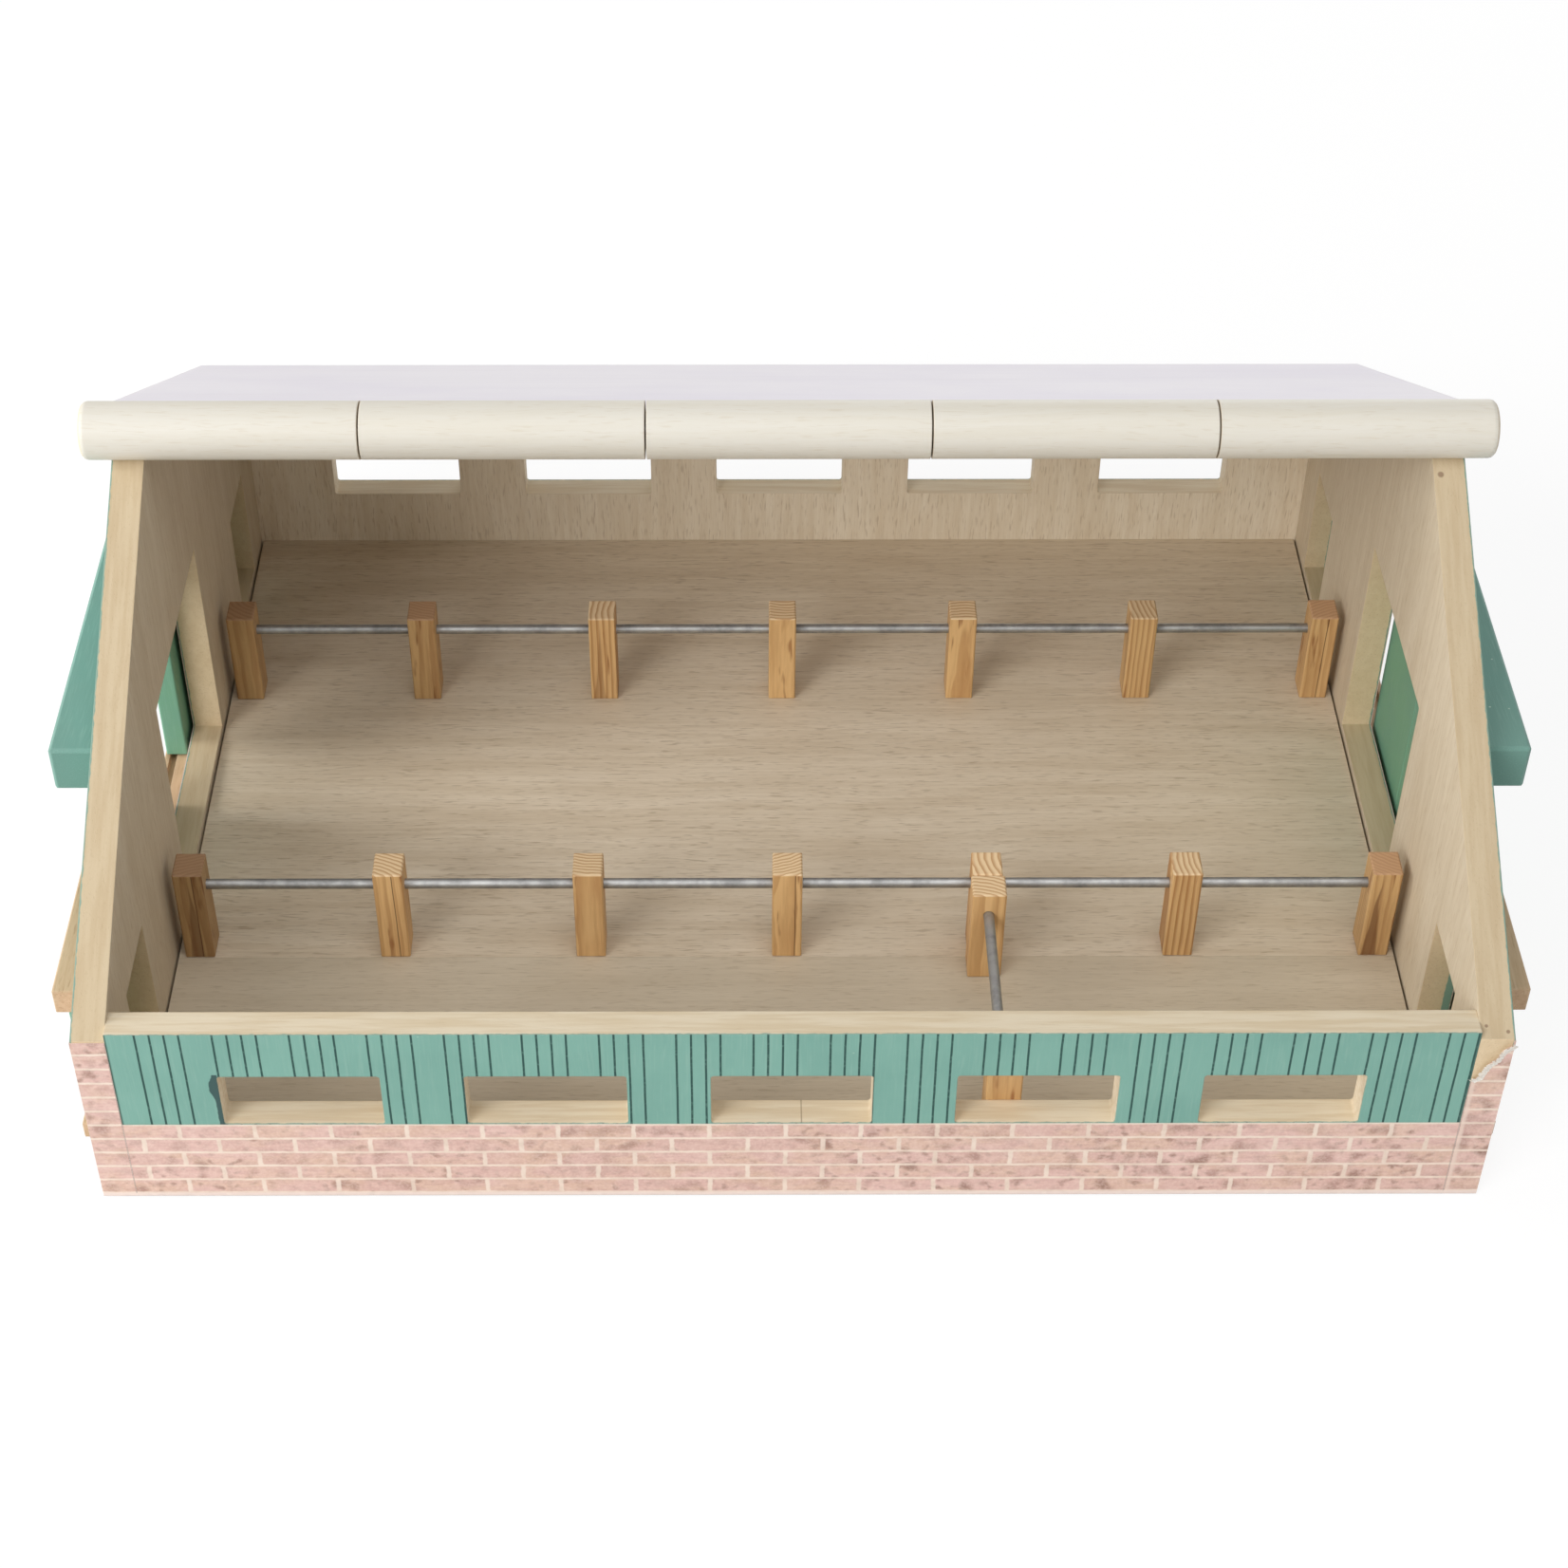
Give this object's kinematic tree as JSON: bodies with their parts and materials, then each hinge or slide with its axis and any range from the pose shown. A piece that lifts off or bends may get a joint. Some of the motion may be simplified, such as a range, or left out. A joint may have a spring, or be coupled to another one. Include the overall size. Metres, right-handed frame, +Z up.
{
  "type": "toy cattle barn",
  "caption": "Wooden toy cattle barn with sliding gable doors, stalls with steel rods, windows and a roof leaf that folds back on a knuckle hinge.",
  "frame": {"origin": "middle of the footprint, on the ground under the walls", "axes": "+X along the ridge to the right gable, +Y from the front wall to the back wall, +Z up"},
  "size_m": [0.536, 0.407, 0.2129],
  "materials": {
    "bare_wood": "bare plywood with a fine grain",
    "painted_wall": "matt paint outside, bare veneer inside",
    "floor_board": "bare veneer with a strong straight grain",
    "brick_print": "matt printed paper with a common brick pattern",
    "pine_post": "bare planed pine with end-grain rings",
    "steel_rod": "dull zinc-plated",
    "ridge_dowel": "limewashed dowel, matt",
    "roof_panel": "matt whitewashed board",
    "green_paint": "matt green paint",
    "bare_rail": "bare planed wood",
    "fastener_steel": "bright drawn steel"
  },
  "bodies": {
    "barn": {"end_wall_left": "bare_wood", "end_wall_right": "bare_wood", "front_wall": "painted_wall", "back_wall": "painted_wall", "floor_lane_board": "floor_board", "floor_front_board": "floor_board", "front_brick_print": "brick_print", "back_brick_print": "brick_print", "left_brick_print": "brick_print", "right_brick_print": "brick_print", "front_post_1": "pine_post", "front_post_2": "pine_post", "front_post_3": "pine_post", "front_post_4": "pine_post", "front_post_5": "pine_post", "front_post_6": "pine_post", "front_post_7": "pine_post", "rear_post_1": "pine_post", "rear_post_2": "pine_post", "rear_post_3": "pine_post", "rear_post_4": "pine_post", "rear_post_5": "pine_post", "rear_post_6": "pine_post", "rear_post_7": "pine_post", "divider_post_inner": "pine_post", "divider_post_wall": "pine_post", "front_stall_rod": "steel_rod", "rear_stall_rod": "steel_rod", "divider_rod": "steel_rod", "ridge_hinge_rod": "steel_rod", "ridge_knuckle_1": "ridge_dowel", "ridge_knuckle_3": "ridge_dowel", "ridge_knuckle_5": "ridge_dowel", "roof_rear_panel": "roof_panel", "door_rail_left": "green_paint", "door_rail_right": "green_paint", "foot_rail_left": "bare_rail", "foot_rail_right": "bare_rail", "hatch_rail_left_front": "bare_rail", "hatch_rail_left_rear": "bare_rail", "hatch_rail_right_front": "bare_rail", "hatch_rail_right_rear": "bare_rail", "wall_nails": "fastener_steel", "roof_nails": "fastener_steel", "post_screws": "fastener_steel"},
    "front_roof": {"roof_front_panel": "roof_panel", "ridge_knuckle_2": "ridge_dowel", "ridge_knuckle_4": "ridge_dowel"},
    "door_left_front": {"door_leaf_left_front": "green_paint"},
    "door_left_rear": {"door_leaf_left_rear": "green_paint"},
    "door_right_front": {"door_leaf_right_front": "green_paint"},
    "door_right_rear": {"door_leaf_right_rear": "green_paint"},
    "hatch_left_front": {"hatch_leaf_left_front": "green_paint"},
    "hatch_left_rear": {"hatch_leaf_left_rear": "green_paint"},
    "hatch_right_front": {"hatch_leaf_right_front": "green_paint"},
    "hatch_right_rear": {"hatch_leaf_right_rear": "green_paint"}
  },
  "joints": [
    {"name": "front_roof_hinge", "type": "hinge", "parent": "barn", "child": "front_roof", "pos_m": [0, 0, 0.20212], "axis": [1, 0, 0], "range_deg": [0, 238.7]},
    {"name": "door_left_front_slide", "type": "slide", "parent": "barn", "child": "door_left_front", "axis": [0, -1, 0], "range_m": [0, 0.0395]},
    {"name": "door_left_rear_slide", "type": "slide", "parent": "barn", "child": "door_left_rear", "axis": [0, 1, 0], "range_m": [-0.0395, 0]},
    {"name": "door_right_front_slide", "type": "slide", "parent": "barn", "child": "door_right_front", "axis": [0, -1, 0], "range_m": [0, 0.0395]},
    {"name": "door_right_rear_slide", "type": "slide", "parent": "barn", "child": "door_right_rear", "axis": [0, 1, 0], "range_m": [0, 0.0395]},
    {"name": "hatch_left_front_slide", "type": "slide", "parent": "barn", "child": "hatch_left_front", "axis": [0, 1, 0], "range_m": [0, 0.02395]},
    {"name": "hatch_left_rear_slide", "type": "slide", "parent": "barn", "child": "hatch_left_rear", "axis": [0, -1, 0], "range_m": [0, 0.02395]},
    {"name": "hatch_right_front_slide", "type": "slide", "parent": "barn", "child": "hatch_right_front", "axis": [0, 1, 0], "range_m": [-0.02395, 0]},
    {"name": "hatch_right_rear_slide", "type": "slide", "parent": "barn", "child": "hatch_right_rear", "axis": [0, -1, 0], "range_m": [0, 0.02395]}
  ]
}
